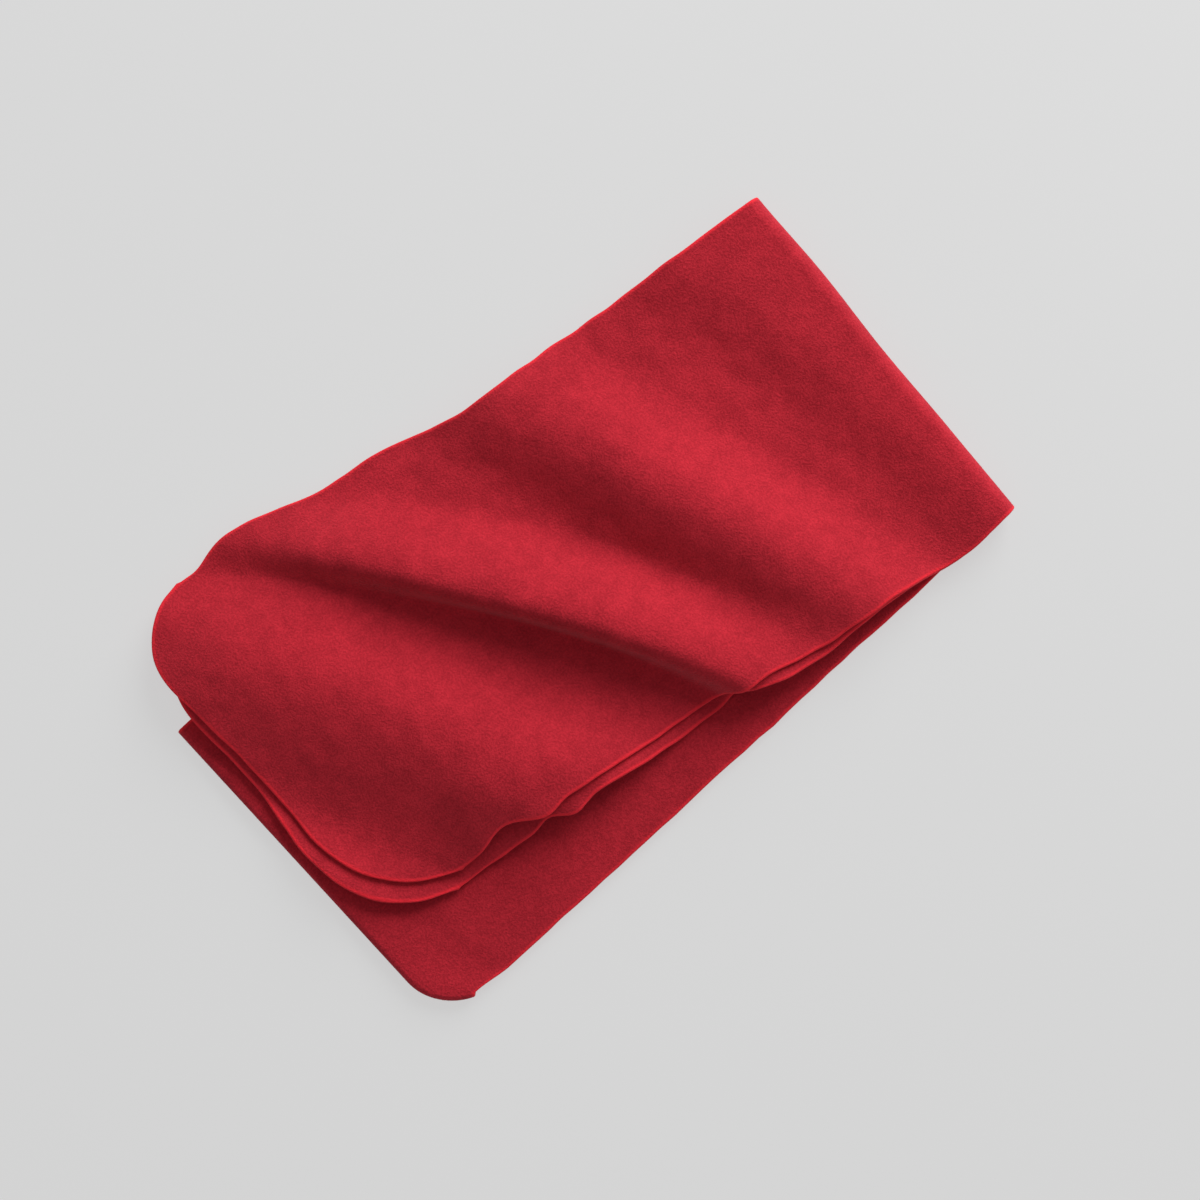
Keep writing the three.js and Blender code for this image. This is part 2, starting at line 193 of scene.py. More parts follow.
# The curves of the ridges run on beyond the long edges for this share of the width.
PAST_EDGE_SHARE = 0.05

# Where the height of the cross fold begins and ends to ease off, as shares of the folded length, at
# the same three places.
FOLD_EASE = ((0.10, 0.03, 0.0), (0.22, 0.13, 0.087))

# How far the cross fold's line stands out of a straight one, in metres, at even steps from the
# upper long edge to the lower one.
CROSS_FOLD_WAVE = (0.0, 0.0015, 0.0001, 0.0010, 0.0014)

# How far each layer's free end reaches past a straight one, in metres, at the same three places.
END_REACH = {OUTER: (-0.003, 0.003, 0.003), INNER: (-0.009, -0.001, 0.0)}

# Places where the top layer alone stands off the one below. Along is a share of the folded length
# from the cross fold, across a share of half the width, the rest are shares of the ridge height.
Lift = namedtuple("Lift", "name along across height reach inward")
TOP_LAYER_LIFTS = (
    Lift("edge_mouth", 0.80, -0.83, 0.32, 1.4, 0.11),
)

# Tongues and notches of the lower long edge. Along is a share of the folded length from the cross
# fold, and the outward shift, the reach and the width are shares of the ridge height.
Lobe = namedtuple("Lobe", "name layers along outward reach width")
EDGE_LOBES = (
    Lobe("skirt_by_fold", (OUTER, INNER), 0.07, 0.27, 1.4, 1.6),
    Lobe("tongue_at_tall_ridge", (OUTER,), 0.40, 0.10, 0.5, 1.0),
    Lobe("notch_past_tall_ridge", (INNER,), 0.43, -0.10, 0.5, 1.0),
    Lobe("tongue_before_mouth", (OUTER,), 0.735, 0.14, 0.45, 0.9),
    Lobe("notch_at_mouth", (OUTER,), 0.795, -0.24, 0.60, 1.2),
    Lobe("tongue_under_mouth", (INNER,), 0.704, 0.17, 0.50, 0.9),
    Lobe("notch_under_mouth", (INNER,), 0.738, -0.16, 0.40, 0.9),
)


class ScarfCloth(bpy.types.PropertyGroup):
    """Sizes of the flat scarf"""

    length: FloatProperty(
        name="Length", description="Length of the unfolded scarf", default=1.98, min=0.5,
        unit="LENGTH")
    width: FloatProperty(
        name="Width", description="Width of the unfolded scarf", default=0.25, min=0.1,
        unit="LENGTH")
    thickness: FloatProperty(
        name="Thickness", description="Thickness of the fleece", default=0.0026, min=0.001,
        unit="LENGTH")
    top_corners: FloatVectorProperty(
        name="Corners on Top", size=2, default=(0.056, 0.088), min=0.01, unit="LENGTH",
        description="Corner radii of the end on top, at the upper and the lower long edge")
    under_corners: FloatVectorProperty(
        name="Corners Below", size=2, default=(0.076, 0.088), min=0.01, unit="LENGTH",
        description="Corner radii of the end below it, at the upper and the lower long edge")


class ScarfFolds(bpy.types.PropertyGroup):
    """How the scarf is folded and how its layers lie"""

    middle_hollow: FloatProperty(
        name="Middle Fold Hollow", description="Radius inside the fold at half the length",
        default=0.0021, unit="LENGTH")
    middle_ease: FloatProperty(
        name="Middle Fold Ease", description="Length over which the middle fold's bulge goes flat",
        default=0.034, unit="LENGTH")
    corner_depth: FloatProperty(
        name="Middle Corner Depth",
        description="How far the middle fold draws in at its lower corner", default=0.024,
        unit="LENGTH")
    corner_reach: FloatProperty(
        name="Middle Corner Reach", description="Width of the drawn-in corner", default=0.036,
        unit="LENGTH")
    corner_ease: FloatProperty(
        name="Middle Corner Ease", description="Length over which the drawn-in corner evens out",
        default=0.095, unit="LENGTH")
    corner_rounding: FloatProperty(
        name="Middle Corner Rounding", description="How far the cut edge draws in at that corner",
        default=0.003, unit="LENGTH")
    cross_setback: FloatProperty(
        name="Cross Fold Setback",
        description="How far the second fold lies short of a quarter length", default=0.0158,
        unit="LENGTH")
    cross_slant: FloatProperty(
        name="Cross Fold Slant", description="Slant of the second fold", default=np.radians(3.15),
        subtype="ANGLE")
    cross_hollow: FloatProperty(
        name="Cross Fold Hollow", description="Radius inside the second fold", default=0.0041,
        unit="LENGTH")
    cross_wave_ease: FloatProperty(
        name="Cross Fold Wave Ease",
        description="Length over which the second fold's waviness fades", default=0.06,
        unit="LENGTH")
    layer_gap: FloatProperty(
        name="Layer Gap", description="Air between two layers", default=0.001, unit="LENGTH")
    slip: FloatProperty(
        name="Inner Layer Slip",
        description="How far the inner layer has slid out at the lower edge", default=0.008,
        unit="LENGTH")
    slip_start: FloatProperty(
        name="Slip Start", description="Where the slip begins, measured from the second fold",
        default=0.05, unit="LENGTH")
    slip_reach: FloatProperty(
        name="Slip Reach", description="Length over which the slip builds up", default=0.14,
        unit="LENGTH")
    droop: FloatProperty(
        name="Overhang Droop", description="Width over which the overhanging side sinks",
        default=0.06, unit="LENGTH")
    ridge_height: FloatProperty(
        name="Ridge Height", description="Height of the tallest ridge", default=0.025, unit="LENGTH")


class ScarfFinish(bpy.types.PropertyGroup):
    """Colours and nap of the fleece, with its painted gap shade and cut-edge highlight"""

    tip_colour: FloatVectorProperty(
        name="Nap Tips", description="Colour of the brushed fibre tips",
        default=(0.60, 0.024, 0.041), size=3, min=0.0, max=1.0, subtype="COLOR")
    # Painted shade: the gaps between the fibres get this darker red, which stands for the shade in
    # them.
    gap_shade_colour: FloatVectorProperty(
        name="Painted Gap Shade", description="Colour between the fibres", default=(0.36, 0.013, 0.024),
        size=3, min=0.0, max=1.0, subtype="COLOR")
    # A painted highlight: the cut edge gets a brighter red, over a strip of the width below, that
    # stands for the light its fibres catch.
    edge_highlight_colour: FloatVectorProperty(
        name="Cut Edge", description="Colour of the fluffed fibres along the cut edge",
        default=(0.82, 0.024, 0.040), size=3, min=0.0, max=1.0, subtype="COLOR")
    edge_width: FloatProperty(
        name="Cut Edge Highlight Width", description="Width of the fluffed strip along the cut edge",
        default=0.0030, unit="LENGTH")
    nap_size: FloatProperty(
        name="Nap Size", description="Size of one tuft of the nap", default=0.0014, unit="LENGTH")
    nap_depth: FloatProperty(
        name="Nap Depth", description="Height of the nap's tufts", default=0.00036, unit="LENGTH")
    fibre_length: FloatProperty(
        name="Loose Fibre Length", description="Length of a loose fibre on the surface",
        default=0.0013, unit="LENGTH")
    fibre_density: FloatProperty(
        name="Loose Fibres per Area",
        description="Loose fibres on each square metre of open surface", default=160000.0, min=0.0)


class ScarfStage(bpy.types.PropertyGroup):
    """Camera, floor and light"""

    floor_tone: FloatProperty(
        name="Floor Tone", description="Brightness of the pale floor", default=0.16, min=0.0,
        max=1.0, subtype="FACTOR")
    floor_glow: FloatProperty(
        name="Floor Glow", description="Light that the translucent floor gives from below",
        default=0.555, min=0.0)
    camera_height: FloatProperty(
        name="Camera Height", description="Height of the camera above the floor", default=1.052,
        unit="LENGTH")
    camera_turn: FloatProperty(
        name="Camera Turn", description="Turn of the picture about the line of sight",
        default=np.radians(-42.55), subtype="ANGLE")
    key_power: FloatProperty(
        name="Key Power", description="Power of the soft key light", default=82.0, unit="POWER")
    sky_strength: FloatProperty(
        name="Sky Strength", description="Strength of the even light from all round", default=0.30)


def smooth(t):
    """Rises softly from 0 to 1 while t does."""
    t = np.clip(t, 0.0, 1.0)
    return t * t * (3.0 - 2.0 * t)


def across_width(values, share):
    """A smooth curve through the values at the upper edge, the middle and the lower edge."""
    upper, middle, lower = values
    return (upper * (1 - share) * (1 - 2 * share)
            + 4 * middle * share * (1 - share)
            + lower * share * (2 * share - 1))


def along_steps(values, share):
    """A smooth curve through values at even steps from the upper long edge to the lower one."""
    place = np.clip(share, 0.0, 1.0) * (len(values) - 1)
    step = np.minimum(place.astype(int), len(values) - 2)
    values = np.array(values)
    return values[step] + (values[step + 1] - values[step]) * smooth(place - step)


def take_up(high, reach):
    """Length that one flank of a cosine-shaped ridge takes up beyond its reach."""
    return (np.pi * high) ** 2 / (16 * reach)


class FoldedScarf:
    """Says where each point of the flat scarf lies in the folded pack.

    Along is measured from the middle fold in the space between the two layers of a pair, and across
    from the scarf's centre line. The outer layer runs from the bottom of the pack round both folds
    to the top, and the inner layer lies against it all the way.
    """

    def __init__(self, cloth, folds):
        self.folds = folds
        self.width = cloth.width
        self.half_width = cloth.width / 2
        self.half_thickness = cloth.thickness / 2
        self.rim_inset = RIM_BULGE * cloth.thickness / 2
        self.corner_radii = {OUTER: cloth.top_corners, INNER: cloth.under_corners}
        self.pitch = cloth.thickness + folds.layer_gap
        self.middle_radius = folds.middle_hollow + self.half_thickness
        self.cross_radius = folds.cross_hollow + cloth.thickness + folds.layer_gap / 2
        self.folded_length = cloth.length / 4 - folds.cross_setback
        self.slant = slant = folds.cross_slant
        self.into_fold = np.array([np.cos(slant), -np.sin(slant)])
        self.away = np.array([-np.cos(2 * slant), np.sin(2 * slant)])
        self.sideways = np.array([np.sin(2 * slant), np.cos(2 * slant)])
        self.fold_start = self.folded_length - self.cross_radius / np.cos(slant)
        self.fold_arc = np.pi * self.cross_radius
        pair_length = cloth.length / 2 - np.pi / 2 * self.middle_radius
        self.ends = {
            OUTER: pair_length - np.pi / 2 * self.pitch,
            INNER: pair_length + np.pi / 2 * self.pitch,
        }
        rng = np.random.default_rng(WAVE_SEED)
        self.dents = make_waves(rng, DENT_WAVES, DENT_HEIGHT, DENT_LENGTHS)
        self.edge_waves = make_waves(rng, EDGE_WAVES, EDGE_HEIGHT, EDGE_LENGTHS)
        self.lobes = EDGE_LOBES

    def share_across(self, across):
        """Distance from the upper long edge, as a share of the width."""
        return (self.half_width - across) / self.width

    def corner_inset(self, side, across):
        """How far the rounded end of one layer stops short of a square one."""
        radius = np.where(across > 0, *self.corner_radii[side])
        kept = np.clip((np.abs(across) - self.half_width) / radius + 1, 0.0, CORNER_LIMIT)
        return radius * (1 - np.sqrt(1 - kept * kept))

    def way_in(self, along, across):
        """How far into the cross fold a place lies, square to the fold's line."""
        return (along - self.fold_start) * np.cos(self.slant) - across * np.sin(self.slant)

    def along_at(self, way_in, across):
        """The place along, at a distance across, that lies this far into the cross fold."""
        return self.fold_start + (way_in + across * np.sin(self.slant)) / np.cos(self.slant)

    def past_fold(self, along, across):
        """Distance along from the end of the cross fold's arc."""
        return along - self.along_at(self.fold_arc, across)

    def lower_pitch(self, along):
        """Height between the two layers of the lower pair, which the middle fold spreads."""
        spread = 2 * self.middle_radius - self.pitch
        return self.pitch + spread * (1 - smooth(along / self.folds.middle_ease))

    def ridges_at(self, past, across):
        """Height, shift away from the fold and shift sideways that the ridges give."""
        share = np.clip(self.share_across(across), -PAST_EDGE_SHARE, 1 + PAST_EDGE_SHARE)
        tall = self.folds.ridge_height
        height, away, sideways, taken_up = 0.0, 0.0, 0.0, 0.0
        for ridge in RIDGES:
            own = np.maximum(across_width(ridge.height, share), 0.0) * tall
            rise, fall = ridge.rise * tall, ridge.fall * tall
            run = (ridge.crest[0] - ridge.crest[2]) * self.folded_length
            normal_away = self.width / np.hypot(self.width, run)
            crest = (across_width(ridge.crest, share) * self.folded_length - ridge.lean * own
                     + taken_up + take_up(own, rise) / normal_away)
            offset = (past - crest) * normal_away
            reached = np.clip(np.where(offset < 0, offset / rise, offset / fall), -1, 1)
            bump = np.cos(reached * np.pi / 2) ** 2
            climbed, dropped = smooth(1 + offset / rise), smooth(offset / fall)
            height = height + own * bump
            away = away + ridge.lean * own * bump - normal_away * (
                take_up(own, rise) * climbed + take_up(own, fall) * dropped)
            sideways = sideways + ridge.flare * tall * bump * smooth(across / self.half_width)
            taken_up = taken_up + (take_up(own, rise) + take_up(own, fall)) / normal_away
        for step in SIDE_STEPS:
            offset = past - across_width(step.along, share) * self.folded_length
            moved = smooth((1 + offset / (step.reach * tall)) / 2)
            sideways = sideways + step.sideways * tall * moved
        return height, away, sideways

    def upper_middle(self, along, across):
        """The middle between the two layers of the upper pair."""
        way_in = self.way_in(along, across)
        past = self.past_fold(along, across)
        height, away, sideways = self.ridges_at(past, across)
        back = self.fold_arc - 2 * way_in
        x = along + self.into_fold[0] * back + self.away[0] * away + self.sideways[0] * sideways
        y = across + self.into_fold[1] * back + self.away[1] * away + self.sideways[1] * sideways
        carried = 1 - smooth((y - self.half_width) / self.folds.droop)
        bed = self.half_thickness + self.pitch / 2 + (self.pitch + self.lower_pitch(x)) * carried
        share = self.share_across(across)
        start, end = (across_width(row, share) * self.folded_length for row in FOLD_EASE)
        ease = 1 - smooth((past - start) / (end - start))
        roll = 2 * (self.cross_radius - self.pitch) * ease
        settled = smooth(past / self.folds.cross_wave_ease)
        z = bed + roll + height + settled * self.dent(along, across)
        return np.stack([x, y, z], -1)

    def dent(self, along, across):
        """Height of the faint dents of the resting cloth, which never reach below its bed."""
        if not self.dents:
            return 0.0
        return DENT_ROOM * (1 + np.tanh(sum_of(self.dents, along, across) / DENT_ROOM))

    def normal_of(self, surface, along, across):
        """The direction square to a surface, towards the outer layer's side."""
        along_way = surface(along + SLOPE_STEP, across) - surface(along - SLOPE_STEP, across)
        across_way = surface(along, across + SLOPE_STEP) - surface(along, across - SLOPE_STEP)
        normal = np.cross(across_way, along_way)
        return normal / np.linalg.norm(normal, axis=-1, keepdims=True)

    def lower_point(self, side, along, across):
        """The lower pair, whose middle fold bulges square to its own line."""
        folds = self.folds
        turn = np.clip(-along / self.middle_radius, 0.0, np.pi / 2)
        beside_edge = np.maximum(folds.corner_reach - across - self.half_width, 0.0)
        towards_corner = beside_edge / folds.corner_reach
        tucked = folds.corner_depth * towards_corner ** 2
        line_slope = 2 * folds.corner_depth * towards_corner / folds.corner_reach
        square = np.hypot(1.0, line_slope)
        bulge = self.middle_radius * np.sin(turn)
        evened = smooth(along / folds.corner_ease)
        x = np.maximum(along, 0.0) + tucked * (1 - evened) - bulge / square
        at_corner = towards_corner ** CORNER_POWER
        drawn_in = folds.corner_rounding * at_corner * (1 - smooth(along / folds.middle_ease))
        sideways = bulge * line_slope / square * (1 - CORNER_BULGE_FADE * at_corner)
        y = across - sideways + drawn_in
        turn_height = self.half_thickness + self.middle_radius * (1 - side * np.cos(turn))
        flat_height = self.half_thickness
        if side == INNER:
            dent = LOWER_DENT_SHARE * smooth(along / folds.middle_ease) * self.dent(along, across)
            flat_height = flat_height + self.lower_pitch(along) + dent
        z = np.where(along < 0, turn_height, flat_height)
        return np.stack([x, y, z], -1)

    def cross_fold_point(self, side, along, across):
        """The arc of the cross fold."""
        way_in = self.way_in(along, across)
        angle = way_in / self.cross_radius
        radius = self.cross_radius + side * self.pitch / 2
        push = radius * np.sin(angle) - way_in
        z = self.half_thickness + self.pitch / 2 + self.cross_radius - radius * np.cos(angle)
        return np.stack([along + self.into_fold[0] * push, across + self.into_fold[1] * push, z], -1)

    def upper_point(self, side, along, across):
        """The upper pair, with the places where its top layer stands off."""
        point = self.upper_middle(along, across)
        point = point + side * self.pitch / 2 * self.normal_of(self.upper_middle, along, across)
        past = self.past_fold(along, across)
        tall = self.folds.ridge_height
        if side == OUTER:
            for lift in TOP_LAYER_LIFTS:
                distance = np.hypot(past - lift.along * self.folded_length,
                                    across - lift.across * self.half_width)
                local = np.exp(-(distance / (lift.reach * tall)) ** 2) * tall
                point = point + local[..., None] * np.array([0.0, lift.inward, lift.height])
        return point

    def layer_point(self, side, along, across):
        """A point on the middle surface of one layer."""
        along, across = np.broadcast_arrays(along, across)
        way_in = self.way_in(along, across)
        past = way_in - self.fold_arc
        point = np.where((way_in < 0)[..., None], self.lower_point(side, along, across),
                         np.where((past < 0)[..., None], self.cross_fold_point(side, along, across),
                                  self.upper_point(side, along, across)))
        ease = self.folds.cross_wave_ease
        near_fold = np.where(way_in < 0, smooth(1 + way_in / ease), 1 - smooth(past / ease))
        wave = along_steps(CROSS_FOLD_WAVE, self.share_across(across)) * near_fold
        point[..., :2] += wave[..., None] * self.into_fold
        outward = self.towards_lower_edge(side, self.past_fold(along, across), across)
        point[..., :2] -= outward[..., None] * self.sideways
        return point

    def towards_lower_edge(self, side, past, across):
        """How far the tongues and notches of the lower long edge carry a place towards that edge."""
        tall = self.folds.ridge_height
        outward = np.zeros_like(past)
        for lobe in self.lobes:
            if side in lobe.layers:
                offset = (past - lobe.along * self.folded_length) / (lobe.reach * tall)
                near_edge = smooth(1 - (across + self.half_width) / (lobe.width * tall))
                outward += lobe.outward * tall * np.exp(-offset ** 2) * near_edge
        return outward

    def slip_at(self, side, along):
        """How far a layer has slid towards the lower long edge."""
        if side == OUTER:
            return np.zeros_like(along)
        past = along - self.fold_start - self.fold_arc - self.folds.slip_start
        return self.folds.slip * smooth(past / self.folds.slip_reach)


class PlainScarf(FoldedScarf):
    """The same scarf without its dents and lesser lobes, as the CAD model has it."""

    def __init__(self, cloth, folds):
        super().__init__(cloth, folds)
        self.dents = self.edge_waves = ()
        self.lobes = [lobe for lobe in EDGE_LOBES if lobe.layers == (OUTER, INNER)]


def make_waves(rng, count, height, lengths):
    """Waves of random length and direction whose sum is a faint irregular unevenness."""
    waves = []
    for _ in range(count):
        length = lengths[0] * (lengths[1] / lengths[0]) ** rng.random()
        turn = rng.uniform(0, np.pi)
        along, across = 2 * np.pi * np.cos(turn) / length, 2 * np.pi * np.sin(turn) / length
        waves.append(Wave(height, along, across, rng.uniform(0, 2 * np.pi)))
    return tuple(waves)


def sum_of(waves, along, across):
    """Height of all waves together at each place."""
    total = np.zeros(np.broadcast(along, across).shape)
    for wave in waves:
        total += wave.height * np.sin(wave.along * along + wave.across * across + wave.start)
    return total


def column_places():
    """Places across the width from -1 to 1, closer together towards the long edges."""
    even = np.linspace(-1, 1, COLUMNS)
    return (1 - EDGE_CROWDING) * even + EDGE_CROWDING * np.sin(even * np.pi / 2)


def grid_along(scarf, side, across):
    """Distance along of every grid line of one layer, from the middle fold to its free end."""
    end = scarf.ends[side] - scarf.rim_inset - scarf.corner_inset(side, across)
    end = end + sum_of(scarf.edge_waves, side * scarf.ends[side], across)
    end = end + across_width(END_REACH[side], scarf.share_across(across))
    round_start = scarf.ends[side] - ROUND_END_RADII * max(scarf.corner_radii[side])
    marks = {
        "middle": np.full_like(across, -np.pi / 2 * scarf.middle_radius),
        "flat": np.zeros_like(across),
        "eased": np.full_like(across, scarf.folds.middle_ease),
        "fold_start": scarf.along_at(0.0, across),
        "fold_end": scarf.along_at(scarf.fold_arc, across),
        "round_start": np.full_like(across, round_start),
        "end": end,
    }
    lines = [marks["middle"]]
    for run in GRID_RUNS:
        start, stop = marks[run.start], marks[run.stop]
        lines += [start + (stop - start) * step / run.steps for step in range(1, run.steps + 1)]
    return np.array(lines)


def layer_grid(scarf, side):
    """Points, outward normals and flat places of one layer, from the middle fold to its free end."""
    across = column_places() * (scarf.half_width - scarf.rim_inset)
    along = grid_along(scarf, side, across)
    across = np.broadcast_to(across, along.shape)
    edge_share = (np.abs(across) / scarf.half_width) ** EDGE_DRIFT_POWER * np.sign(across)
    drift = sum_of(scarf.edge_waves, side * along, np.sign(across) * scarf.width)
    placed = across + edge_share * drift - scarf.slip_at(side, along)

    def surface(a, c):
        return scarf.layer_point(side, a, c)

    normal = scarf.normal_of(surface, along, placed) * side
    return surface(along, placed), normal, np.stack([across + scarf.half_width, side * along], -1)


def whole_grid(scarf):
    """The two layers joined at the middle fold, from the end on top to the end below it."""
    outer, inner = layer_grid(scarf, OUTER), layer_grid(scarf, INNER)
    return [np.concatenate([top[::-1], below[1:]]) for top, below in zip(outer, inner)]


def border_loop(rows, columns):
    """Row and column of every border point, in order round the cloth."""
    last_row, last_column = rows - 1, columns - 1
    loop = [(0, c) for c in range(last_column)] + [(r, last_column) for r in range(last_row)]
    loop += [(last_row, last_column - c) for c in range(last_column)]
    loop += [(last_row - r, 0) for r in range(last_row)]
    return np.array(loop)


def outward_of(points, loop):
    """The direction at each border point that leads out of the cloth in its own plane."""
    rows, columns = points.shape[:2]
    r, c = loop.T
    here = points[r, c]
    along = here - points[np.clip(r, 1, rows - 2), c]
    across = here - points[r, np.clip(c, 1, columns - 2)]
    way = np.zeros_like(here)
    for part in (along, across):
        length = np.linalg.norm(part, axis=-1, keepdims=True)
        way += np.divide(part, length, out=np.zeros_like(part), where=length > 0)
    return way / np.linalg.norm(way, axis=-1, keepdims=True)


def wall_faces(rows, columns, loop):
    """Faces of the wall's outer side, its inner side and its rim."""
    grid = np.arange(rows * columns).reshape(rows, columns)
    a, b, c, d = grid[:-1, :-1], grid[1:, :-1], grid[1:, 1:], grid[:-1, 1:]
    front = np.stack([a, b, c, d], -1).reshape(-1, 4)
    back = front[:, ::-1] + rows * columns
    edge = grid[tuple(loop.T)]
    rings = [edge]
    rings += [2 * rows * columns + len(loop) * step + np.arange(len(loop))
              for step in range(RIM_STEPS - 1)]
    rings.append(edge + rows * columns)
    rim = np.concatenate([
        np.stack([upper, np.roll(upper, -1), np.roll(lower, -1), lower], -1)
        for upper, lower in zip(rings, rings[1:])])
    return front, back, rim


def scarf_mesh(scarf, name):
    """A closed wall of even thickness with a softly rounded cut edge all round."""
    points, normals, flat = whole_grid(scarf)
    rows, columns = points.shape[:2]
    half = scarf.half_thickness
    loop = border_loop(rows, columns)
    border_point, border_normal = points[tuple(loop.T)], normals[tuple(loop.T)]
    outward = outward_of(points, loop)
    vertices = [(points + half * normals).reshape(-1, 3), (points - half * normals).reshape(-1, 3)]
    for step in range(1, RIM_STEPS):
        angle = np.pi * step / RIM_STEPS
        vertices.append(border_point + half * np.cos(angle) * border_normal
                        + RIM_BULGE * half * np.sin(angle) * outward)
    vertices = np.concatenate(vertices)
    front, back, rim = wall_faces(rows, columns, loop)
    faces = np.concatenate([front, back, rim])

    mesh = bpy.data.meshes.new(name)
    mesh.from_pydata(vertices.tolist(), [], faces.tolist())
    in_slot = np.repeat([0, 1], [len(front) + len(back), len(rim)])
    mesh.polygons.foreach_set("material_index", in_slot)
    mesh.polygons.foreach_set("use_smooth", np.ones(len(faces), dtype=bool))
    flat_place = flat.reshape(-1, 2)
    border_place = flat[tuple(loop.T)]
    places = np.concatenate([flat_place, flat_place, *[border_place] * (RIM_STEPS - 1)])
    corners = np.empty(len(mesh.loops), dtype=np.int32)
    mesh.loops.foreach_get("vertex_index", corners)
    mesh.uv_layers.new(name="flat_cloth").data.foreach_set("uv", places[corners].ravel())
    store_values(mesh, "edge_distance", distance_to_edge(scarf, places))
    if mesh.validate():
        raise RuntimeError("the folded scarf's mesh has faulty faces")
    return mesh


def store_values(mesh, name, values):
    """Keeps a number for each point of the mesh, under a name."""
    mesh.attributes.new(name, "FLOAT", "POINT").data.foreach_set("value", values)


def read_vectors(items, key):
    """Rows of three numbers, one row for each item."""
    values = np.empty(len(items) * 3)
    items.foreach_get(key, values)
    return values.reshape(-1, 3)


def distance_to_edge(scarf, places):
    """Distance from the nearest cut edge of points given by their places on the flat strip."""
    across, along = places[:, 0] - scarf.half_width, np.abs(places[:, 1])
    to_long_edge = scarf.half_width - np.abs(across)
    on_top = places[:, 1] > 0
    upper, lower = zip(*scarf.corner_radii.values())
    radius = np.where(across > 0, np.where(on_top, *upper), np.where(on_top, *lower))
    top_end, under_end = (
        scarf.ends[side] + across_width(END_REACH[side], scarf.share_across(across))
        for side in (OUTER, INNER))
    end = np.where(on_top, top_end, under_end)
    past_centre = [np.maximum(radius - to_long_edge, 0.0), np.maximum(along - end + radius, 0.0)]
    return np.maximum(np.minimum(to_long_edge, radius - np.hypot(*past_centre)), 0.0)


def mark_open_surface(mesh):
    """Stores on each point whether the fleece lies open there or is covered by another layer."""
    place, normal = read_vectors(mesh.vertices, "co"), read_vectors(mesh.vertex_normals, "vector")
    way = normal + np.array([0.0, 0.0, OPEN_RAY_RISE])
    tree = BVHTree.FromPolygons(place.tolist(), [tuple(face.vertices) for face in mesh.polygons])
    is_open = np.zeros(len(place))
    for i in np.flatnonzero(way[:, 2] > 0):
        start = Vector(place[i] + normal[i] * OPEN_RAY_START)
        is_open[i] = place[i, 2] > LOWEST_FIBRE and tree.ray_cast(start, Vector(way[i]))[0] is None
    store_values(mesh, "open_surface", is_open)


def add_sockets(tree, kind, *names, way="INPUT"):
    for name in names:
        tree.interface.new_socket(name, in_out=way, socket_type="NodeSocket" + kind)


def set_inputs(tree, node, inputs):
    """Sets a node's inputs to values, or links them from other nodes' outputs."""
    for key, value in inputs.items():
        if isinstance(value, bpy.types.NodeSocket):
            tree.links.new(value, node.inputs[key])
        else:
            node.inputs[key].default_value = value


def add_node(tree, kind, inputs=None, **settings):
    node = tree.nodes.new(kind)
    for key, value in settings.items():
        setattr(node, key, value)
    set_inputs(tree, node, inputs or {})
    return node


def math_node(tree, operation, first, second):
    return add_node(tree, "ShaderNodeMath", {0: first, 1: second}, operation=operation).outputs[0]


def noise(tree, place, size, detail=2.0, roughness=0.5):
    return add_node(tree, "ShaderNodeTexNoise", {
        "Vector": place, "Scale": math_node(tree, "DIVIDE", 1.0, size),
        "Detail": detail, "Roughness": roughness}).outputs["Fac"]


def ramp(tree, value, low, high):
    ramped = add_node(tree, "ShaderNodeMapRange", {
        "Value": value, "From Min": low, "From Max": high}, interpolation_type="SMOOTHSTEP")
    return ramped.outputs["Result"]


def grained(tree, place, size, grain):
    raw = noise(tree, place, size, grain.detail, grain.roughness)
    return ramp(tree, raw, grain.low, grain.high)


def weighted(tree, share, first, second):
    """The first value with its share and the second with the rest."""
    return math_node(tree, "ADD", math_node(tree, "MULTIPLY", first, share),
                     math_node(tree, "MULTIPLY", second, 1.0 - share))


def mix_colours(tree, share, first, second):
    """Sockets 0, 6 and 7 of a mix node are its factor and its two colours."""
    mixed = add_node(tree, "ShaderNodeMix", {0: share, 6: first, 7: second}, data_type="RGBA")
    return mixed.outputs[2]


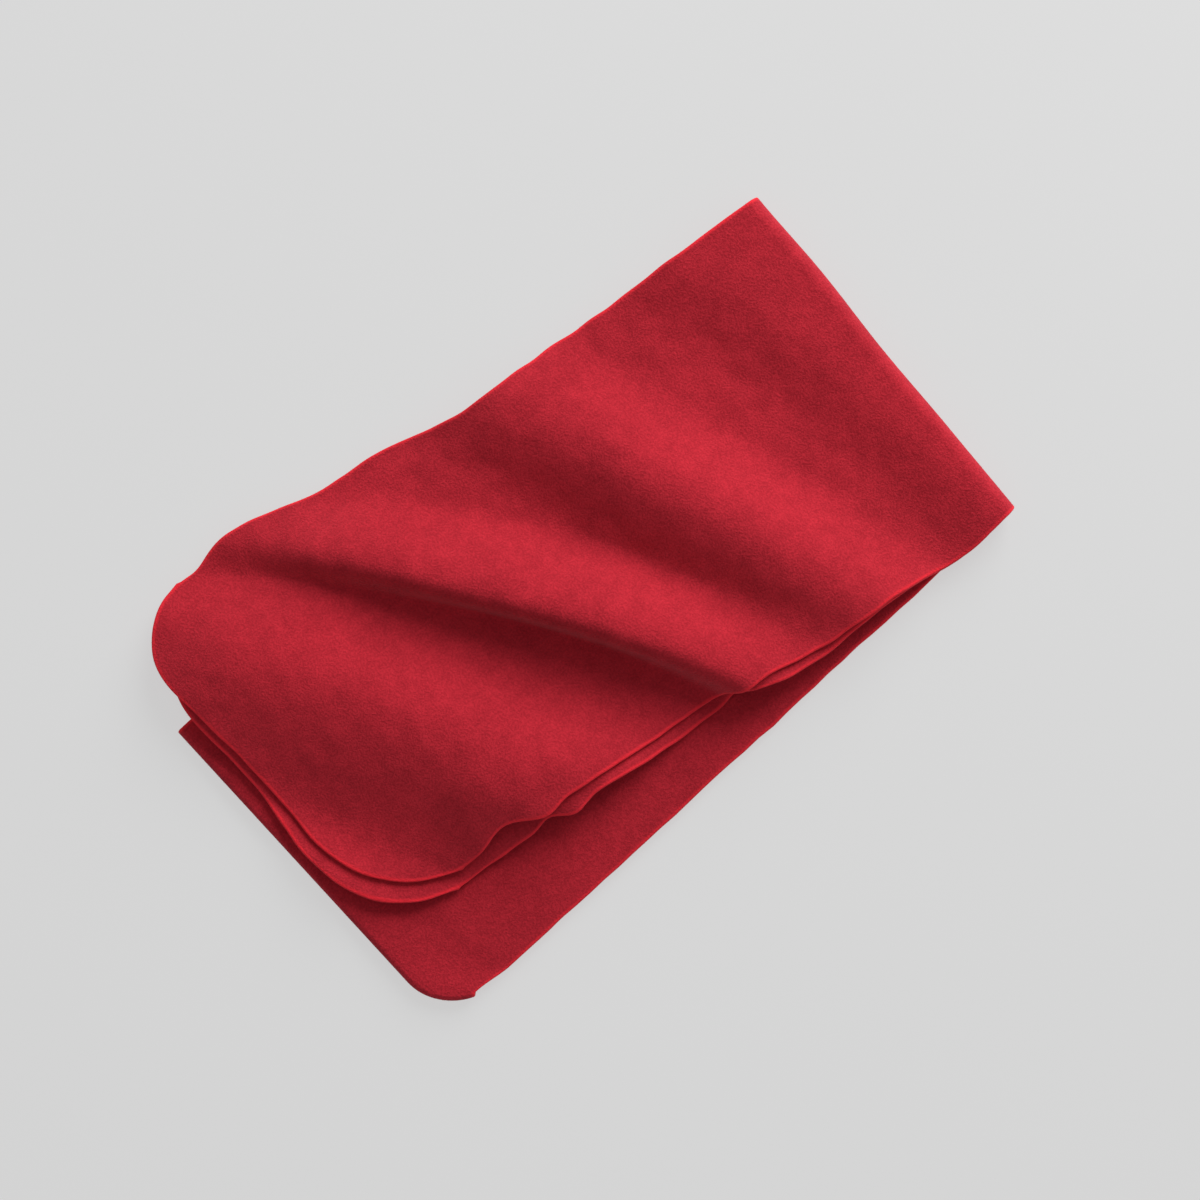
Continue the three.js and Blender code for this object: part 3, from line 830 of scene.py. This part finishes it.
def nap_group():
    """Brushed fleece: fine clumping tufts, painted shade in their gaps and a painted edge highlight.
    """
    tree = bpy.data.node_groups.new("brushed_nap", "ShaderNodeTree")
    add_sockets(tree, "Color", "Tip Colour", "Gap Shade Colour", "Edge Highlight Colour")
    add_sockets(tree, "Float", "Edge Highlight Width", "Tuft Size", "Clump Size", "Tuft Depth")
    add_sockets(tree, "Color", "Colour", way="OUTPUT")
    add_sockets(tree, "Float", "Roughness", way="OUTPUT")
    add_sockets(tree, "Vector", "Normal", way="OUTPUT")
    given = tree.nodes.new("NodeGroupInput").outputs
    place = tree.nodes.new("ShaderNodeTexCoord").outputs["Object"]
    tufts = grained(tree, place, given["Tuft Size"], TUFTS)
    clumps = grained(tree, place, given["Clump Size"], CLUMPS)
    patches = grained(tree, place, PATCH_SIZE, PATCHES)
    relief = weighted(tree, TUFTS_IN_RELIEF, tufts, clumps)
    shade = weighted(tree, RELIEF_IN_SHADE, relief, patches)
    # The colour darkens towards the gap shade colour where the relief is low: painted shade in the
    # gaps, with the patches adding random tone.
    fleece = mix_colours(tree, shade, given["Gap Shade Colour"], given["Tip Colour"])
    # Towards the cut edge the colour turns to the brighter edge colour: a painted highlight for the
    # light that the edge's fibres catch.
    to_edge = add_node(tree, "ShaderNodeAttribute", attribute_name="edge_distance").outputs["Fac"]
    edge_share = math_node(tree, "DIVIDE", to_edge, given["Edge Highlight Width"])
    past_edge_highlight = ramp(tree, edge_share, EDGE_HIGHLIGHT_FADE_START, 1.0)
    colour = mix_colours(tree, past_edge_highlight, given["Edge Highlight Colour"], fleece)
    in_gaps, on_tips = NAP_ROUGHNESS
    roughness = add_node(tree, "ShaderNodeMapRange", {
        "Value": relief, "To Min": in_gaps, "To Max": on_tips})
    bump = add_node(tree, "ShaderNodeBump", {"Distance": given["Tuft Depth"], "Height": relief})
    add_node(tree, "NodeGroupOutput", {
        "Colour": colour, "Roughness": roughness.outputs["Result"],
        "Normal": bump.outputs["Normal"]})
    return tree


def fleece_material(name, group, values, sheen):
    """Fleece whose colour (with painted shade and highlight), roughness and relief come from the
    brushed nap.
    """
    material = bpy.data.materials.new(name)
    material.use_nodes = True
    tree = material.node_tree
    nap = add_node(tree, "ShaderNodeGroup", values, node_tree=group).outputs
    set_inputs(tree, tree.nodes["Principled BSDF"], {
        "Base Color": nap["Colour"], "Roughness": nap["Roughness"], "Normal": nap["Normal"],
        "Specular IOR Level": SPECULAR_LEVEL, "Sheen Weight": sheen,
        "Sheen Roughness": SHEEN_ROUGHNESS, "Sheen Tint": SHEEN_TINT,
    })
    return material


def nap_tree():
    """Loose fibres that stand off the open surface of the fleece."""
    tree = bpy.data.node_groups.new("loose_nap", "GeometryNodeTree")
    add_sockets(tree, "Geometry", "Geometry")
    add_sockets(tree, "Float", "Fibre Length", "Fibre Radius", "Fibres per Area", "Lean")
    add_sockets(tree, "Material", "Material")
    add_sockets(tree, "Geometry", "Geometry", way="OUTPUT")
    given = tree.nodes.new("NodeGroupInput").outputs
    is_open = add_node(tree, "GeometryNodeInputNamedAttribute", {"Name": "open_surface"},
                       data_type="FLOAT").outputs["Attribute"]
    points = add_node(tree, "GeometryNodeDistributePointsOnFaces", {
        "Mesh": given["Geometry"], "Seed": PLACE_SEED,
        "Density": math_node(tree, "MULTIPLY", is_open, given["Fibres per Area"])},
        distribute_method="RANDOM")
    fibre = add_node(tree, "GeometryNodeMeshCone", {
        "Vertices": FIBRE_SIDES, "Radius Bottom": given["Fibre Radius"],
        "Depth": given["Fibre Length"]}, fill_type="NONE")
    lean = given["Lean"]
    lean_back = math_node(tree, "MULTIPLY", lean, -1.0)
    lowest = add_node(tree, "ShaderNodeCombineXYZ", {"X": lean_back, "Y": lean_back})
    highest = add_node(tree, "ShaderNodeCombineXYZ", {"X": lean, "Y": lean, "Z": np.pi})
    # A random value node has its two vector sockets first and then those for a single number.
    tilt = add_node(tree, "FunctionNodeRandomValue", {
        0: lowest.outputs[0], 1: highest.outputs[0], "Seed": TILT_SEED}, data_type="FLOAT_VECTOR")
    length = add_node(tree, "FunctionNodeRandomValue", {
        2: SHORTEST_FIBRE, 3: 1.0, "Seed": LENGTH_SEED}, data_type="FLOAT")
    turned = add_node(tree, "FunctionNodeRotateRotation", {
        "Rotation": points.outputs["Rotation"], "Rotate By": tilt.outputs[0]},
        rotation_space="LOCAL")
    fibres = add_node(tree, "GeometryNodeInstanceOnPoints", {
        "Points": points.outputs["Points"], "Instance": fibre.outputs["Mesh"],
        "Rotation": turned.outputs["Rotation"], "Scale": length.outputs[1]})
    real = add_node(tree, "GeometryNodeRealizeInstances", {"Geometry": fibres.outputs["Instances"]})
    finished = add_node(tree, "GeometryNodeSetMaterial", {
        "Geometry": real.outputs["Geometry"], "Material": given["Material"]})
    add_node(tree, "NodeGroupOutput", {"Geometry": finished.outputs["Geometry"]})
    return tree


def link_object(name, data):
    piece = bpy.data.objects.new(name, data)
    bpy.context.scene.collection.objects.link(piece)
    return piece


def apply_nodes(base, tree, values, name):
    """Runs a Geometry Nodes tree on a copy of base and keeps its result as a plain mesh."""
    carrier = link_object(name + "_carrier", base.data.copy())
    modifier = carrier.modifiers.new(tree.name, "NODES")
    modifier.node_group = tree
    sockets = {item.name: item.identifier
               for item in tree.interface.items_tree if item.in_out == "INPUT"}
    for key, value in values.items():
        modifier[sockets[key]] = value
    evaluated = carrier.evaluated_get(bpy.context.evaluated_depsgraph_get())
    mesh = bpy.data.meshes.new_from_object(evaluated)
    carrier_mesh = carrier.data
    bpy.data.objects.remove(carrier)
    bpy.data.meshes.remove(carrier_mesh)
    mesh.name = name
    return link_object(name, mesh)


def colour_of(setting):
    return (*setting, 1.0)


def nap_values(finish):
    """What the brushed nap is given on the faces of the cloth."""
    return {
        "Tip Colour": colour_of(finish.tip_colour), "Gap Shade Colour": colour_of(finish.gap_shade_colour),
        "Edge Highlight Colour": colour_of(finish.edge_highlight_colour), "Edge Highlight Width": finish.edge_width,
        "Tuft Size": finish.nap_size, "Clump Size": CLUMP_TUFTS * finish.nap_size,
        "Tuft Depth": finish.nap_depth,
    }


def place_on_cad(mesh, cloth, folds):
    """Moves the mesh by the shift that lays the undented scarf into the CAD node's box."""
    plain = scarf_mesh(PlainScarf(cloth, folds), "plain_scarf")
    place = read_vectors(plain.vertices, "co")
    bpy.data.meshes.remove(plain)
    low, high = (np.array(corner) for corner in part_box(CAD_NODE))
    shift = (low + high) / 2 - (place.min(0) + place.max(0)) / 2
    shift[2] = low[2] - place[:, 2].min()
    mesh.transform(Matrix.Translation(Vector(shift)))


class SCARF_OT_fold_cloth(bpy.types.Operator):
    """Fold the strip of fleece into the pack and give it its nap"""

    bl_idname = "scarf.fold_cloth"
    bl_label = "Fold the Cloth"

    def execute(self, context):
        scene = context.scene
        cloth, folds, finish = scene.scarf_cloth, scene.scarf_folds, scene.scarf_finish
        mesh = scarf_mesh(FoldedScarf(cloth, folds), "scarf_cloth")
        place_on_cad(mesh, cloth, folds)
        mark_open_surface(mesh)
        group = nap_group()
        values = nap_values(finish)
        edge_values = values | {
            "Tuft Size": EDGE_TUFT_SHARE * finish.nap_size,
            "Tuft Depth": EDGE_TUFT_SHARE * finish.nap_depth,
        }
        mesh.materials.append(fleece_material("red_fleece_face", group, values, FACE_SHEEN))
        mesh.materials.append(fleece_material("red_fleece_cut_edge", group, edge_values, EDGE_SHEEN))
        piece = link_object("scarf_cloth", mesh)
        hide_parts(CAD_NODE)
        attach(piece, "root")
        return {"FINISHED"}


class SCARF_OT_raise_nap(bpy.types.Operator):
    """Raise loose fibres on the open surface of the folded scarf"""

    bl_idname = "scarf.raise_nap"
    bl_label = "Raise the Nap"

    def execute(self, context):
        scene = context.scene
        cloth, finish = scene.scarf_cloth, scene.scarf_finish
        base = bpy.data.objects.get("scarf_cloth")
        if base is None:
            raise RuntimeError("fold the cloth before raising its nap")
        # The loose fibres take the tip colour throughout, with no painted gap shade and no painted
        # edge highlight.
        tips = colour_of(finish.tip_colour)
        values = nap_values(finish) | {"Gap Shade Colour": tips, "Edge Highlight Colour": tips, "Tuft Depth": 0.0}
        group = bpy.data.node_groups["brushed_nap"]
        nap = apply_nodes(base, nap_tree(), {
            "Fibre Length": finish.fibre_length, "Fibre Radius": FIBRE_RADIUS,
            "Fibres per Area": finish.fibre_density, "Lean": FIBRE_LEAN,
            "Material": fleece_material("red_fleece_fibres", group, values, FIBRE_SHEEN),
        }, "scarf_nap")
        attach(nap, "root")
        return {"FINISHED"}


class SCARF_OT_set_stage(bpy.types.Operator):
    """Set the camera above the scarf, with a pale floor and soft light"""

    bl_idname = "scarf.set_stage"
    bl_label = "Set the Stage"

    def execute(self, context):
        scene = context.scene
        stage = scene.scarf_stage
        set_camera(scene, stage)
        lay_floor(stage)
        add_light(stage)
        world = bpy.data.worlds.new("even_sky")
        world.use_nodes = True
        set_inputs(world.node_tree, world.node_tree.nodes["Background"], {
            "Color": WHITE, "Strength": stage.sky_strength})
        scene.world = world
        scene.view_settings.view_transform = "Standard"
        return {"FINISHED"}


def set_camera(scene, stage):
    """Looks straight down on the scarf."""
    camera = link_object("photo_camera", bpy.data.cameras.new("photo_camera"))
    camera.data.lens, camera.data.sensor_width = LENS, SENSOR_WIDTH
    camera.location = (*CAMERA_PLACE, stage.camera_height)
    camera.rotation_euler = (0.0, 0.0, stage.camera_turn)
    scene.camera = camera


def lay_floor(stage):
    """A wide pale surface that glows a little, as a lit translucent one does."""
    mesh = bpy.data.meshes.new("pale_floor")
    corners = [(x * FLOOR_REACH, y * FLOOR_REACH, FLOOR_HEIGHT)
               for x, y in ((-1, -1), (1, -1), (1, 1), (-1, 1))]
    mesh.from_pydata(corners, [], [(0, 1, 2, 3)])
    material = bpy.data.materials.new("pale_floor")
    material.use_nodes = True
    tree = material.node_tree
    place = tree.nodes.new("ShaderNodeTexCoord").outputs["Object"]
    tones = [(1 + stray) * stage.floor_tone for stray in (-FLOOR_STRAY, FLOOR_STRAY)]
    low, high = [(tone, tone, tone, 1.0) for tone in tones]
    set_inputs(tree, tree.nodes["Principled BSDF"], {
        "Base Color": mix_colours(tree, noise(tree, place, FLOOR_PATCH_SIZE), low, high),
        "Roughness": 1.0, "Specular IOR Level": 0.0,
        "Emission Color": WHITE, "Emission Strength": stage.floor_glow,
    })
    mesh.materials.append(material)
    link_object("pale_floor", mesh)


def add_light(stage):
    """A disk-shaped light that faces the middle of the scarf."""
    target = (CAD_LOW + CAD_HIGH) / 2
    up = Vector((-np.sin(stage.camera_turn), np.cos(stage.camera_turn), 0.0))
    right = Vector((up.y, -up.x, 0.0))
    way = right * LIGHT_RIGHT + up * LIGHT_UP
    way.z = LIGHT_RISE
    data = bpy.data.lights.new("key_light", "AREA")
    data.shape, data.size, data.energy = "DISK", LIGHT_SIZE, stage.key_power
    lamp = link_object("key_light", data)
    lamp.location = target + way.normalized() * LIGHT_DISTANCE
    lamp.rotation_euler = (target - lamp.location).to_track_quat("-Z", "Y").to_euler()


class SCARF_PT_panel(bpy.types.Panel):
    """Scarf tools in the sidebar"""

    bl_idname = "SCARF_PT_panel"
    bl_label = "Folded Fleece Scarf"
    bl_space_type = "VIEW_3D"
    bl_region_type = "UI"
    bl_category = "Scarf"

    def draw(self, context):
        layout = self.layout
        for group, steps in PANEL_ROWS:
            box = layout.box()
            settings = getattr(context.scene, group)
            for key in settings.bl_rna.properties.keys():
                if key not in ("rna_type", "name"):
                    box.prop(settings, key)
            for step in steps:
                box.operator(step)


PROPERTY_GROUPS = {
    "scarf_cloth": ScarfCloth,
    "scarf_folds": ScarfFolds,
    "scarf_finish": ScarfFinish,
    "scarf_stage": ScarfStage,
}
PANEL_ROWS = (
    ("scarf_cloth", ()),
    ("scarf_folds", ("scarf.fold_cloth",)),
    ("scarf_finish", ("scarf.raise_nap",)),
    ("scarf_stage", ("scarf.set_stage",)),
)
CLASSES = (*PROPERTY_GROUPS.values(), SCARF_OT_fold_cloth, SCARF_OT_raise_nap, SCARF_OT_set_stage,
           SCARF_PT_panel)


def register():
    for item in CLASSES:
        bpy.utils.register_class(item)
    for name, group in PROPERTY_GROUPS.items():
        setattr(bpy.types.Scene, name, PointerProperty(type=group))


def unregister():
    for name in PROPERTY_GROUPS:
        delattr(bpy.types.Scene, name)
    for item in reversed(CLASSES):
        bpy.utils.unregister_class(item)


def main():
    register()
    bpy.ops.scarf.set_stage()
    bpy.ops.scarf.fold_cloth()
    bpy.ops.scarf.raise_nap()


if __name__ == "__main__":
    main()
